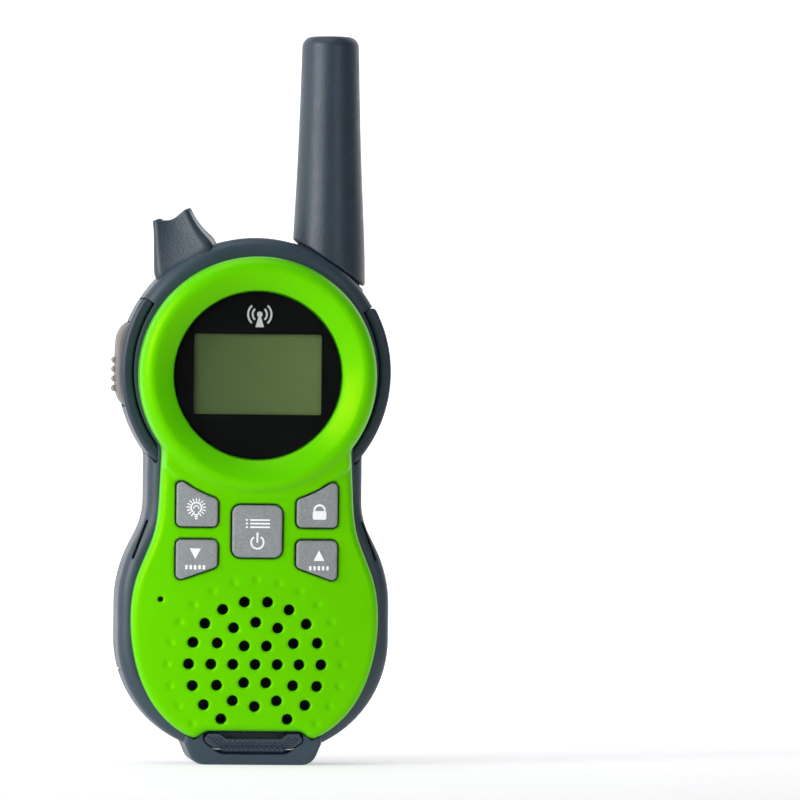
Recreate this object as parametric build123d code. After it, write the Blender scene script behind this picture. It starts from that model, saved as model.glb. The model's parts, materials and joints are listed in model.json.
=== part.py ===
"""Toy two-way radio: a handheld with a round display head, a five-key pad, a speaker bulb, a fixed whip
antenna, a torch, a talk button in the left grip, a belt clip and a latched battery door.

Frame: +Z up along the antenna, -Y out of the display, +X to the right of the display. The origin is at the
bottom centre of the object's box, on the surface that the radio stands on. All lengths are millimetres.
"""

from build123d import *

import math
import os

# ---------------------------------------------------------------- driving dimensions
# Depth planes: the front of the radio is at negative Y.
RIDGE_Y = -18.6  # crest of the ring round the display
FACE_Y = -16.8  # crown of the front face, at the keys
SEAM_Y = -10.5  # where the front cover meets the rear casing
BACK_Y = 9.0  # back of the casing and of the battery door
CLIP_BACK_Y = 18.6  # outermost face of the belt clip

WALL = 1.8
GAP = 0.15  # assembly gap between parts that are fixed to each other
SLIDING_GAP = 0.25  # gap round a part that moves

# Front outline of the casing: a round head on a waist and a round bulb.
HEAD_Z = 86.0
HEAD_R = 29.45
HEAD_CORNER_R = 3.0  # in the corner where the head meets the waist
HEAD_CAVITY_R = 24.9
BULB_X = 29.8
BULB_R = 25.2
BULB_BOTTOM_Z = 2.4
BULB_SHOULDER_Z = 41.8
BULB_SHOULDER_R = 28.0
WAIST_X = 23.6
WAIST_Z = 54.1
WAIST_R = 16.0
SHOULDER_FILLET = 2.9
BACK_FILLET = 3.0

# Front cover.
COVER_HEAD_Z = 85.2
COVER_HEAD_R = 26.05
WINDOW_R = 18.55
LEDGE_R = 17.6  # opening in the ledge behind the window
LEDGE_Y = (-13.0, -11.3)
RIDGE_R = 23.1
CROWN_R = 150.0  # horizontal crown of the face
FALL_R = 450.0  # vertical fall of the face towards the foot
FALL_Z = 58.0
COVER_EDGE_FILLET = 1.9
NOTCH_TOP_Z = 7.4
NOTCH_BOTTOM_Z = 5.6
NOTCH_TOP_X = 10.4
NOTCH_BOTTOM_X = 12.8
FACE_WALL = 1.6

# Speaker grille: rings of holes, closed in a little in height because the face falls away.
GRILLE_Z = 22.1
GRILLE_HOLE_R = 1.2
GRILLE_RINGS = ((0.0, 1), (4.85, 6), (9.65, 12), (14.5, 18))
GRILLE_SQUEEZE = 0.955
GRILLE_KEPT_ABOVE = -13.0  # the two lowest holes of the outer ring are left out
MICROPHONE_HOLE = (-20.8, 36.2)
MICROPHONE_HOLE_R = 0.65
DIMPLE_RING_R = 19.3
DIMPLE_ANGLES = range(-45, 226, 15)
DIMPLE_R = 1.5
DIMPLE_DEPTH = 0.4

# Keys. The outer keys' top edges follow an arc round the display, and their lower edges slope.
KEY_GAP = 0.3
KEY_OUTER_X = 17.65
KEY_INNER_X = 8.65
KEY_ARC_R = 28.4
KEY_UPPER_BOTTOM_Z = 52.15
KEY_LOWER_TOP_Z = 49.25
KEY_LOWER_INNER_Z = 43.4
KEY_LOWER_OUTER_Z = 40.2
KEY_CORNER_R = 1.1
MENU_Z = 51.2
MENU_SIZE = (10.9, 11.4)
MENU_CORNER_R = 1.8
KEY_PROUD = 0.8
KEY_EDGE_R = 0.45
KEY_FLANGE = 0.9
KEY_FLANGE_Y = (-13.5, -12.9)
KEY_STEM_END_Y = -10.1
KEY_CENTRES = {
    "light": (-13.2, 56.6),
    "menu": (0, 51.2),
    "lock": (13.2, 56.6),
    "down": (-13.2, 45.6),
    "up": (13.2, 45.6),
}
KEYPAD_X = 18.4
KEYPAD_Z = (40.6, 64.0)
GUIDE_Y = (-12.0, -11.0)
MEMBRANE_Y = (-9.2, -8.6)  # outer face, and the floor of its pockets over the domes

# Board and display stack.
BOARD_Y = (-7.8, -6.2)
BOARD_HEAD_R = 23.8
BOARD_TAIL = (36.4, 36.0)
BOARD_TAIL_Z = 58.0
LCD_SIZE = (29.0, 18.6)
VIEW_SIZE = (28.0, 17.6)
LCD_Z = 85.5
WINDOW_Y = (-15.1, -13.8)
MASK_Y = (-13.75, -13.5)
GASKET_Y = (-13.45, -13.05)
LCD_Y = (-12.9, -11.0)
FRAME_Y = (-11.25, -8.1)
FRAME_SIZE = (33.2, 22.8)
BACKLIGHT_Y = (-10.85, -9.5)

# Side grips: bands round the head.
GRIP_INNER_R = 26.95
GRIP_OUTER_R = 29.7
GRIP_END_R = 1.1
GRIP_Y = (-10.3, 3.0)
GRIP_FILLET = 1.0
LEFT_GRIP_ANGLES = (147.0, 222.5)
RIGHT_GRIP_ANGLES = (-42.5, 29.5)
GRIP_TIP_X = 21.6

# Talk button in the left grip.
TALK_Z = (78.4, 96.6)
TALK_Y = (-7.6, 0.6)
TALK_PROUD = 1.1
TALK_INNER_R = 28.3
TALK_STEM_Y = (-4.9, -2.1)
TALK_STEM_Z = (85.2, 89.8)
TALK_STEM_END_X = -24.2
TALK_STEM_Y_CLEAR = (-5.15, -1.85)
TALK_STEM_Z_CLEAR = (84.95, 90.05)
TALK_SWITCH_TIP_X = -23.1
TALK_RIBS_Z = (82.2, 84.3, 86.4, 88.4)
TALK_RIB_R = 0.7

# Earphone socket and its cover in the right grip.
SOCKET_Z = 86.0
SOCKET_Y = -3.4
SOCKET_BORE_R = 1.3
SOCKET_BARREL_R = 2.3
SOCKET_X = (17.5, 27.3)  # bottom and mouth of the bore
COVER_FLAP_Z = (79.5, 92.5)
COVER_FLAP_Y = (-6.9, 0.1)
COVER_FLAP_INNER_R = 28.0

# Antenna.
ANTENNA_X = 16.4
ANTENNA_Y = -1.0
ANTENNA_TOP_R = 6.2
ANTENNA_BASE_R = 7.75
ANTENNA_CUT = ((8.6, 115.3), (24.2, 105.0))  # ends of the slanted foot
ANTENNA_TIP_FILLET = 2.4
ANTENNA_NECK_R = 6.9
ANTENNA_SPIGOT_R = 3.7
ANTENNA_NECK_GAP = 0.7
COIL_R = 2.7
COIL_WIRE_R = 0.45
COIL_PITCH = 4.0
COIL_Z = (118.0, 150.0)

# Torch on the left shoulder.
TORCH_Y = -2.0
TORCH_TOP = (-17.6, 119.9)  # middle of the rim (x, z)
TORCH_TOP_LEAN = 17.0  # degrees from vertical, towards the left
TORCH_TOP_R = 5.6
TORCH_SECTIONS = (  # middle (x, z), radius, lean
    (-13.9, 107.6, 9.6, 33.0),
    (-15.1, 110.6, 8.9, 30.0),
    (-16.6, 115.0, 6.6, 21.0),
    (-17.6, 119.9, 5.6, 17.0),
)
TORCH_FLUTES = 4
TORCH_FLUTE_R = 25.0
TORCH_FLUTE_DEPTH = 1.9
TORCH_FLUTE_TILT = 15.0
TORCH_TURN = -5.0
TORCH_BORE_R = 3.0
TORCH_BORE_DEPTH = 8.0
TORCH_LEAD_R = 1.2

# Foot, and the latch whose pad tips forward out of it.
FOOT_TOP_X = 15.0
FOOT_BOTTOM_X = 13.0
FOOT_BEND_Z = 4.6  # the foot's sides are upright above this
FOOT_TOP_Z = 9.0
FOOT_CORNER_R = 3.5
FOOT_RIM_FILLET = 0.9
FOOT_Y = (-12.4, 7.0)
FOOT_PLAN_R = 150.0
SLOT_X = 7.65  # slot through the foot for the door's tongue
SLOT_Z = (3.2, 7.3)
SLOT_FRONT_Y = -8.7
LATCH_PIVOT = (-11.5, 3.5)  # (y, z)
LATCH_BARREL_R = 0.8
LATCH_BARREL_X = 6.6
LATCH_BEVEL = 1.7  # height of the bevel that lets the pad tip forward
LATCH_PIN_R = 0.3
LATCH_PIN_X = 10.4
LATCH_PAD_Y = (-12.9, -10.2)
LATCH_ROOF_X = 10.95  # room over the pad's horns
LATCH_ROOF_Z = 5.5
LATCH_HALF = (  # right half of the pad's outline (x, z)
    (0, 2.5),
    (6.8, 2.6),
    (8.0, 3.1),
    (10.4, 4.9),
    (10.8, 5.7),
    (9.9, 6.8),
    (7.6, 6.8),
    (6.0, 5.7),
    (0, 5.7),
)
TONGUE_X = 7.4
TONGUE_Z = (4.0, 5.5)
TONGUE_FRONT_Y = -8.4

# Battery compartment: four AAA cells side by side.
CELL_R = 5.2
CELL_LENGTH = 44.5
CELL_PITCH = 10.6
CELL_Y = 1.9
CELL_Z = (14.2, 14.2 + CELL_LENGTH)
POCKET_X = 21.7
POCKET_Z = (11.6, 61.2)
POCKET_FLOOR_Y = -3.7
DOOR_X = 22.4
DOOR_Z = (9.6, 62.4)
DOOR_CORNER_R = 6.0
DOOR_THICKNESS = 1.5
DOOR_GRIP_LINES = 5

# Belt clip on its rail.
RAIL_Z = (70.0, 96.0)
RAIL_HALF_WIDTHS = (5.0, 6.6)  # at the casing, and at the rail's outer face
RAIL_HEIGHT = 2.2
BRACKET_X = 9.5
BRACKET_Y = (9.3, 13.2)
CLIP_PIVOT = (15.6, 96.0)  # (y, z)
CLIP_PIN_R = 0.9
CLIP_ARM_X = 7.5
CLIP_TIP_Z = 64.0
CLIP_LEVER_Z = 104.5

# Lines in the casing: a slot on each waist shoulder, and a panel line round the lower back of the bulb.
SHOULDER_SLOT = ((23.5, 53.4), (26.7, 44.9))
SHOULDER_SLOT_WIDTH = 0.5
PANEL_TOP_Z = 20.7
PANEL_Y = -5.0
PANEL_LINE = 0.4

# Fasteners.
SCREWS = ((-18.8, 98.4), (18.8, 98.4), (-17.3, 67.0), (17.3, 67.0))
SCREW_R = 1.0
SCREW_HEAD_R = 2.0
SCREW_SEAT_Y = -2.4
BOSS_R = 2.5
BOSS_END_Y = -5.2
BOARD_SCREWS = ((0, 107.2), (-9, 66.5), (9, 66.5))

# Speaker and microphone.
SPEAKER_Z = 24.2
SPEAKER_R = 14.0
SPEAKER_Y = (-11.4, -5.3)
MAGNET_R = 8.0
MAGNET_DEPTH = 2.0
MICROPHONE_R = 2.7
MICROPHONE_Y = (-12.5, -10.8)

FAR = 60.0
LOW = (Align.CENTER, Align.CENTER, Align.MIN)


# ---------------------------------------------------------------- helpers
def slab(sketch, y_front, y_back):
    """A front-view sketch (x, z) made solid between two depths."""
    return extrude(Plane.XZ.offset(-y_back) * sketch, y_back - y_front)


def side_slab(sketch, x_left, x_right):
    """A side-view sketch (y, z) made solid between two X values."""
    return extrude(Plane.YZ.offset(x_left) * sketch, x_right - x_left)


def block(x, y, z):
    """A box from pairs of limits."""
    size = (x[1] - x[0], y[1] - y[0], z[1] - z[0])
    return Pos((x[0] + x[1]) / 2, (y[0] + y[1]) / 2, (z[0] + z[1]) / 2) * Box(*size)


def rod_y(x, z, radius, y_front, y_back):
    """A cylinder along Y."""
    return slab(Pos(x, z) * Circle(radius), y_front, y_back)


def rod_x(y, z, radius, x_left, x_right):
    """A cylinder along X."""
    return side_slab(Pos(y, z) * Circle(radius), x_left, x_right)


def rod_z(x, y, radius, z_low, z_high):
    """A cylinder along Z."""
    return Pos(x, y, z_low) * Cylinder(radius, z_high - z_low, align=LOW)


def mirrored(sketch):
    """A half outline at positive x with its left half added."""
    return sketch + mirror(sketch, Plane.YZ)


def polygon(*points):
    return make_face(Polyline(*points, close=True))


def sector(inner, outer, angles, centre_z=HEAD_Z):
    """A piece of a flat ring round the head, between two angles in degrees."""
    first, last = (math.radians(a) for a in angles)
    middle = (first + last) / 2
    reach = 3 * outer
    rays = [(reach * math.cos(a), reach * math.sin(a)) for a in (first, middle, last)]
    return Pos(0, centre_z) * ((Circle(outer) - Circle(inner)) & polygon((0, 0), *rays))


# ---------------------------------------------------------------- outlines (front view)
def bulb_outline(inset=0.0):
    """Waist and bulb of the casing, without the head."""
    half = FilletPolyline(
        (0, BULB_BOTTOM_Z),
        (BULB_X, BULB_BOTTOM_Z),
        (BULB_X, BULB_SHOULDER_Z),
        (WAIST_X, WAIST_Z),
        (WAIST_X, HEAD_Z),
        (0, HEAD_Z),
        radius=[BULB_R, BULB_SHOULDER_R, WAIST_R, 0.01],
    )
    face = mirrored(make_face(half + Line((0, HEAD_Z), (0, BULB_BOTTOM_Z))))
    return offset(face, -inset) if inset else face


def casing_outline():
    return bulb_outline() + Pos(0, HEAD_Z) * Circle(HEAD_R)


def cover_side(inset):
    """Right side of the cover from the notch's tip up into the head, moved inwards by inset."""
    side = Spline(
        (NOTCH_BOTTOM_X, NOTCH_BOTTOM_Z),
        (18.2, 8.8),
        (22.7, 14.1),
        (25.7, 21.1),
        (27.15, 31.5),
        (26.0, 40.6),
        (22.1, 51.0),
        (21.2, 58.5),
        (20.7, 70.0),
    )
    if not inset:
        return side
    points = [(NOTCH_BOTTOM_X, NOTCH_BOTTOM_Z + 1.2 * inset)]
    for step in range(1, 11):
        tangent = side % (step / 10)
        points.append(side @ (step / 10) + Vector(-tangent.Y, tangent.X) * inset)
    return Spline(*points)


def cover_outline(inset=0.0):
    """Front cover: bulb and waist by a smooth curve, a notch for the latch, and the round head."""
    side = cover_side(inset)
    notch_z = NOTCH_TOP_Z + inset
    bottom = Polyline((0, notch_z), (NOTCH_TOP_X + 0.3 * inset, notch_z), side @ 0)
    top = Polyline(side @ 1, ((side @ 1).X, COVER_HEAD_Z), (0, COVER_HEAD_Z), (0, notch_z))
    lower = mirrored(make_face(bottom + side + top))
    return lower + Pos(0, COVER_HEAD_Z) * Circle(COVER_HEAD_R - inset)


def key_outline(name, grow=0.0):
    """The five keys: light and down on the left, lock and up on the right, menu in the middle."""
    if name == "menu":
        face = Pos(0, MENU_Z) * RectangleRounded(*MENU_SIZE, MENU_CORNER_R)
    elif name in ("light", "lock"):
        top_z = COVER_HEAD_Z - math.sqrt(KEY_ARC_R**2 - KEY_OUTER_X**2)
        column = Pos((KEY_OUTER_X + KEY_INNER_X) / 2, (KEY_UPPER_BOTTOM_Z + top_z + 1) / 2) * Rectangle(
            KEY_OUTER_X - KEY_INNER_X, top_z + 1 - KEY_UPPER_BOTTOM_Z
        )
        face = column - Pos(0, COVER_HEAD_Z) * Circle(KEY_ARC_R)
        face = fillet(face.vertices(), KEY_CORNER_R)
    else:
        face = polygon(
            (KEY_INNER_X, KEY_LOWER_TOP_Z),
            (KEY_OUTER_X, KEY_LOWER_TOP_Z),
            (KEY_OUTER_X, KEY_LOWER_OUTER_Z),
            (KEY_INNER_X, KEY_LOWER_INNER_Z),
        )
        face = fillet(face.vertices(), KEY_CORNER_R)
    if name in ("light", "down"):
        face = mirror(face, Plane.YZ)
    return offset(face, grow) if grow else face


KEYS = ("light", "menu", "lock", "down", "up")


def crown(depth=0.0):
    """Everything behind the crowned front face, sunk by depth."""
    front = FACE_Y + depth
    axis_y = FACE_Y + CROWN_R
    arc = ThreePointArc(*[(front + (z - FALL_Z) ** 2 / (2 * FALL_R), z) for z in (-5, 55, 125)])
    side = make_face(arc + Polyline(arc @ 1, (axis_y, 125), (axis_y, -5), arc @ 0))
    turn = 30.0
    wedge = Plane.YZ * side
    axis = Axis((0, axis_y, 0), (0, 0, 1))
    return revolve(wedge.rotate(axis, -turn / 2), axis, turn)


def face_y(x, z):
    """Depth of the crowned front face."""
    return FACE_Y + x**2 / (2 * CROWN_R) + (z - FALL_Z) ** 2 / (2 * FALL_R)


def grille_points():
    for radius, count in GRILLE_RINGS:
        for step in range(count):
            angle = 2 * math.pi * step / count
            x, z = radius * math.cos(angle), radius * math.sin(angle)
            if z > GRILLE_KEPT_ABOVE:
                yield x, GRILLE_Z + z * GRILLE_SQUEEZE


def dimple_points():
    for degrees in DIMPLE_ANGLES:
        angle = math.radians(degrees)
        yield DIMPLE_RING_R * math.cos(angle), GRILLE_Z + DIMPLE_RING_R * math.sin(angle) * GRILLE_SQUEEZE


# ---------------------------------------------------------------- covers and casings
def ring_profile():
    """Section of the ring round the display (radius, y): outer skin, hollow, and the window's ledge."""
    outside = (
        ThreePointArc((COVER_HEAD_R, -15.6), (25.2, -17.6), (RIDGE_R, RIDGE_Y))
        + ThreePointArc((RIDGE_R, RIDGE_Y), (20.9, -17.5), (WINDOW_R, -15.9))
    )
    ledge = LEDGE_Y[0]
    inner = COVER_HEAD_R - WALL
    inside = Polyline(
        (WINDOW_R, -15.9),
        (WINDOW_R, ledge),
        (LEDGE_R, ledge),
        (LEDGE_R, LEDGE_Y[1]),
        (WINDOW_R + 1.5, LEDGE_Y[1]),
        (WINDOW_R + 1.5, -14.8),
        (RIDGE_R - 1.6, -16.0),
        (RIDGE_R, -16.8),
        (inner, -15.4),
        (inner, SEAM_Y),
        (COVER_HEAD_R, SEAM_Y),
        (COVER_HEAD_R, -15.6),
    )
    return make_face(outside + inside)


def skirt_profile():
    """Hollow-curved skirt that eases the ring into the key face (radius, y)."""
    arc = ThreePointArc((24.2, -18.0), (25.6, -17.1), (28.4, FACE_Y + 0.15))
    return make_face(arc + Polyline(arc @ 1, (28.4, -15.4), (24.2, -15.4), arc @ 0))


def round_head(profile):
    return Pos(0, 0, COVER_HEAD_Z) * revolve(profile, Axis.Y)


def front_cover():
    outer = slab(cover_outline(), RIDGE_Y - 1, SEAM_Y) & crown()
    outer = fillet([e for e in outer.edges() if e.center().Y < SEAM_Y - 0.8], COVER_EDGE_FILLET)
    head = rod_y(0, COVER_HEAD_Z, COVER_HEAD_R, -30, 0)
    hollow = (slab(cover_outline(WALL), -30, 0) & crown(FACE_WALL)) - head
    skirt = round_head(skirt_profile()) & slab(cover_outline(0.6), -30, 0)
    skirt = skirt & block((-40, 40), (-30, 0), (50, 70))
    body = (outer - head) + skirt - hollow + round_head(ring_profile())
    seat = rod_y(0, SPEAKER_Z, SPEAKER_R + 1.4, -30, SEAM_Y - 0.1)
    seat -= rod_y(0, SPEAKER_Z, SPEAKER_R + 0.3, -30, 0)
    body += seat & crown(0.8) & slab(cover_outline(0.8), -30, 0)
    for x, z in SCREWS:
        body += rod_y(x, z, BOSS_R, -14.6, BOSS_END_Y)
        body -= rod_y(x, z, SCREW_R + 0.05, -12.2, 0)
    for name in KEYS:
        body -= slab(key_outline(name, KEY_GAP), -30, SEAM_Y)
    holes = [Pos(x, z) * Circle(GRILLE_HOLE_R) for x, z in grille_points()]
    holes.append(Pos(*MICROPHONE_HOLE) * Circle(MICROPHONE_HOLE_R))
    body -= slab(Sketch() + holes, -30, SEAM_Y)
    sink = DIMPLE_DEPTH - DIMPLE_R
    dimples = [Pos(x, face_y(x, z) + sink, z) * Sphere(DIMPLE_R) for x, z in dimple_points()]
    return body - dimples


def lies_at(box, y):
    return abs(box.min.Y - y) + abs(box.max.Y - y) < 0.01


def casing_envelope():
    """Outer form of the rear casing, rounded at the front shoulder and at the back."""
    outline = casing_outline()
    corners = [v for v in outline.vertices() if 60 < v.Y < 75]
    body = slab(fillet(corners, HEAD_CORNER_R), SEAM_Y, BACK_Y)
    for y, radius in ((SEAM_Y, SHOULDER_FILLET), (BACK_Y, BACK_FILLET)):
        rim = [e for e in body.edges() if lies_at(e.bounding_box(), y)]
        body = fillet(rim, radius)
    return body


def antenna_side(drop, above):
    """Half space above or below the antenna's slanted foot, lowered by drop."""
    (x1, z1), (x2, z2) = ANTENNA_CUT
    slope = (z2 - z1) / (x2 - x1)
    left, right = -20, 50
    low = z1 + slope * (left - x1) - drop
    high = z1 + slope * (right - x1) - drop
    end = 200 if above else 90
    return slab(polygon((left, low), (right, high), (right, end), (left, end)), -30, 30)


def torch_top():
    """The torch's own frame at the middle of its rim, local Z pointing out of the lens."""
    return Pos(TORCH_TOP[0], TORCH_Y, TORCH_TOP[1]) * Rot(0, -TORCH_TOP_LEAN, 0)


def torch_lead_hole():
    return torch_top() * Pos(0, 0, -25) * Cylinder(TORCH_LEAD_R, 34)


def latch_outline(grow=0.0):
    face = mirrored(polygon(*LATCH_HALF))
    return offset(face, grow) if grow else face


def latch_well():
    """Opening in the foot that the latch pad fills, and the slot behind it for the door's tongue."""
    gap = SLIDING_GAP
    y, z = LATCH_PIVOT
    above = polygon((-30, z - gap), (SLOT_FRONT_Y, z - gap), (SLOT_FRONT_Y, 12), (-30, 12))
    below = polygon((-30, 2.2), (y, 2.2), (y, z), (-30, z))
    barrel = Pos(y, z) * Circle(LATCH_BARREL_R + gap)
    depth = (-30, SLOT_FRONT_Y + 0.1)
    mouth = slab(latch_outline(gap), *depth) & side_slab(above + below + barrel, -12, 12)
    roof = block((-LATCH_ROOF_X, LATCH_ROOF_X), depth, (LATCH_ROOF_Z, SLOT_Z[1]))
    return mouth + roof + block((-SLOT_X, SLOT_X), (SLOT_FRONT_Y, 30), SLOT_Z)


def foot():
    side = ((FOOT_BOTTOM_X, 0), (FOOT_TOP_X, FOOT_BEND_Z), (FOOT_TOP_X, FOOT_TOP_Z))
    profile = mirrored(polygon((0, 0), *side, (0, FOOT_TOP_Z)))
    profile = fillet([v for v in profile.vertices() if v.Y < 1], FOOT_CORNER_R)
    body = slab(profile, *FOOT_Y) & rod_z(0, FOOT_Y[0] + FOOT_PLAN_R, FOOT_PLAN_R, -5, 20)
    rim = [e for e in body.edges() if e.center().Z < FOOT_TOP_Z - 0.1 and e.length > 0.9]
    rim = [e for e in rim if e.bounding_box().max.Y < -9]
    body = fillet(rim, FOOT_RIM_FILLET)
    return body - slab(cover_outline(-GAP), -30, SEAM_Y)


def belt_rail():
    low, high = RAIL_HALF_WIDTHS
    y = BACK_Y - 0.5
    outer = BACK_Y + RAIL_HEIGHT
    profile = mirrored(polygon((0, y), (low, y), (low, BACK_Y + 0.6), (high, outer), (0, outer)))
    return Pos(0, 0, RAIL_Z[0]) * extrude(profile, RAIL_Z[1] - RAIL_Z[0])


def casing_hollow():
    """Space for the works: the open mouth behind the cover, the deep bulb and head, less the battery box."""
    mouth = slab(cover_outline(WALL + GAP), SEAM_Y - 1, -8.2) & block((-40, 40), (-30, 30), (9.0, 120))
    floor = BACK_Y - WALL
    bulb = slab(bulb_outline(2.2), -8.6, floor) & block((-40, 40), (-30, 30), (9.0, POCKET_Z[1] + 1.5))
    waist = block((-19.3, 19.3), (-8.6, floor), (POCKET_Z[1] + 1.5, 76))
    head = rod_y(0, HEAD_Z, HEAD_CAVITY_R, -8.6, floor)
    box = block(
        (-POCKET_X - 1.5, POCKET_X + 1.5),
        (POCKET_FLOOR_Y - 1.5, 20),
        (POCKET_Z[0] - 1.5, POCKET_Z[1] + 1.5),
    )
    return (mouth + bulb + waist + head) - box


def casing_lines():
    (x1, z1), (x2, z2) = SHOULDER_SLOT
    angle = math.degrees(math.atan2(z2 - z1, x2 - x1))
    length = math.dist(*SHOULDER_SLOT)
    middle = Pos((x1 + x2) / 2, (z1 + z2) / 2)
    slot = middle * Rot(0, 0, angle) * SlotOverall(length, SHOULDER_SLOT_WIDTH)
    slots = slab(mirrored(slot), -12, -7.4)
    skin = slab(bulb_outline(-3) - bulb_outline(PANEL_LINE), -12, 7.5)
    low = block((-40, 40), (PANEL_Y, PANEL_Y + PANEL_LINE), (-5, PANEL_TOP_Z))
    edge = block((-40, 40), (PANEL_Y, 7.5), (PANEL_TOP_Z - PANEL_LINE, PANEL_TOP_Z))
    return slots + (skin & (low + edge) & block((-40, 40), (-12, 8), (9.0, 22)))


def rear_casing(envelope):
    body = envelope - casing_lines() + foot() + belt_rail()
    above_cut = antenna_side(ANTENNA_NECK_GAP, True)
    boss = rod_z(ANTENNA_X, ANTENNA_Y, ANTENNA_BASE_R - 0.1, 98, 130) - above_cut
    step = rod_z(ANTENNA_X, ANTENNA_Y, ANTENNA_BASE_R + 0.4, 98, 130) & above_cut
    body = body + boss - step - casing_hollow()
    for x, z in SCREWS:
        body += rod_y(x, z, BOSS_R + 0.6, BOSS_END_Y + 0.1, BACK_Y - 1)
        body -= rod_y(x, z, BOSS_R + 0.2, SEAM_Y - 1, BOSS_END_Y + 0.1)
        body -= rod_y(x, z, SCREW_R + 0.15, -12, BACK_Y)
        body -= rod_y(x, z, SCREW_HEAD_R + 0.2, SCREW_SEAT_Y, BACK_Y + 1)
    for x, z in BOARD_SCREWS:
        body += rod_y(x, z, 2.2, BOARD_Y[1], BACK_Y - 1)
        body -= rod_y(x, z, 0.85, BOARD_Y[1] - 1, 0)
    body -= block((-POCKET_X, POCKET_X), (POCKET_FLOOR_Y, 20), POCKET_Z)
    body -= slab(door_outline(GAP), BACK_Y - DOOR_THICKNESS - 0.1, 20)
    body -= latch_well()
    body -= rod_x(*LATCH_PIVOT, LATCH_PIN_R + 0.05, -LATCH_PIN_X - 0.1, LATCH_PIN_X + 0.1)
    web = (SLOT_Z[0], DOOR_Z[0] + 2)
    body -= block((-TONGUE_X - GAP, TONGUE_X + GAP), (BACK_Y - DOOR_THICKNESS - 0.1, 20), web)
    for angles, side in ((LEFT_GRIP_ANGLES, -1), (RIGHT_GRIP_ANGLES, 1)):
        body -= slab(grip_outline(angles, side, 0.1), -30, GRIP_Y[1] + 0.1)
    body -= block((-29, -23), TALK_STEM_Y_CLEAR, TALK_STEM_Z_CLEAR)
    body -= rod_x(SOCKET_Y, SOCKET_Z, SOCKET_BARREL_R + 0.1, 20, 29)
    body -= rod_z(ANTENNA_X, ANTENNA_Y, ANTENNA_SPIGOT_R + 0.1, 100, 130)
    return body - torch_lead_hole()


def grip_outline(angles, side, clearance=0.0):
    """Band from the inner to the outer radius; its lower end is cut off along the waist."""
    spread = math.degrees(clearance / GRIP_OUTER_R)
    low, high = angles[0] - spread, angles[1] + spread
    band = sector(GRIP_INNER_R - clearance, GRIP_OUTER_R + clearance, (low, high))
    tip = GRIP_TIP_X - clearance
    return band & (Pos(side * (tip + FAR / 2), HEAD_Z) * Rectangle(FAR, 3 * FAR))


def side_grip(angles, side):
    """Rounded band section turned round the head, cut to the band's outline."""
    outline = grip_outline(angles, side)
    outline = fillet([v for v in outline.vertices() if v.Y > HEAD_Z + 5], GRIP_END_R)
    section = Pos((GRIP_INNER_R + GRIP_OUTER_R) / 2, sum(GRIP_Y) / 2) * Rectangle(
        GRIP_OUTER_R - GRIP_INNER_R, GRIP_Y[1] - GRIP_Y[0]
    )
    rounded = [v for v in section.vertices() if v.Y < 0 or v.X > GRIP_OUTER_R - 0.1]
    ring = Pos(0, 0, HEAD_Z) * revolve(fillet(rounded, GRIP_FILLET), Axis.Y)
    return ring & slab(outline, -30, 30)


def left_grip():
    body = side_grip(LEFT_GRIP_ANGLES, -1)
    y, z = TALK_Y, TALK_Z
    gap = SLIDING_GAP
    return body - block((-40, -20), (y[0] - gap, y[1] + gap), (z[0] - gap, z[1] + gap))


def right_grip():
    body = side_grip(RIGHT_GRIP_ANGLES, 1)
    gap = SLIDING_GAP
    y, z = COVER_FLAP_Y, COVER_FLAP_Z
    well = block((20, 40), (y[0] - gap, y[1] + gap), (z[0] - gap, z[1] + gap))
    body -= well - rod_y(0, HEAD_Z, COVER_FLAP_INNER_R - 0.15, -30, 30)
    return body - rod_x(SOCKET_Y, SOCKET_Z, SOCKET_BARREL_R + 0.1, 20, 40)


# ---------------------------------------------------------------- controls
def talk_button():
    rib_x = -GRIP_OUTER_R - TALK_PROUD + 0.25
    low, high = TALK_Z
    swell = ((-29.6, 79.6), (rib_x, 82.8), (rib_x, 89.5), (-29.9, 94.6))
    outside = Spline((-28.3, low), *swell, (-28.3, high))
    profile = make_face(outside + Polyline((-28.3, high), (-20, high), (-20, low), (-28.3, low)))
    body = slab(profile, *TALK_Y)
    outer = [e for e in body.edges() if e.center().X < -27 and e.length > 10]
    outer = [e for e in outer if e.bounding_box().size.Y < 0.01]
    body = fillet(outer, 0.9)
    for z in TALK_RIBS_Z:
        rib = rod_y(rib_x - 0.02, z, TALK_RIB_R, TALK_Y[0] + 1.0, TALK_Y[1] - 1.0)
        body += rib
    body -= rod_y(0, HEAD_Z, TALK_INNER_R, -30, 30)
    stem = block((-29.5, TALK_STEM_END_X), TALK_STEM_Y, TALK_STEM_Z)
    return body + stem


def jack_cover():
    low = COVER_FLAP_Y[0]
    profile = sector(COVER_FLAP_INNER_R, GRIP_OUTER_R, (-30, 30)) & (
        Pos(30, SOCKET_Z) * Rectangle(20, COVER_FLAP_Z[1] - COVER_FLAP_Z[0])
    )
    body = slab(profile, *COVER_FLAP_Y)
    notch = rod_z(GRIP_OUTER_R - 0.1, low, 0.9, COVER_FLAP_Z[0] + 4, COVER_FLAP_Z[1] - 4)
    return body - notch


def key(name):
    cap = slab(key_outline(name), -30, KEY_FLANGE_Y[1]) & crown(-KEY_PROUD)
    front = [e for e in cap.edges() if e.center().Y < -14.5 and e.bounding_box().size.Y < 1.2]
    cap = fillet(front, KEY_EDGE_R)
    flange = slab(key_outline(name, KEY_FLANGE), *KEY_FLANGE_Y)
    x, z = KEY_CENTRES[name]
    stem = block((x - 2, x + 2), (KEY_FLANGE_Y[0], KEY_STEM_END_Y), (z - 2, z + 2))
    return cap + flange + stem


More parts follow.
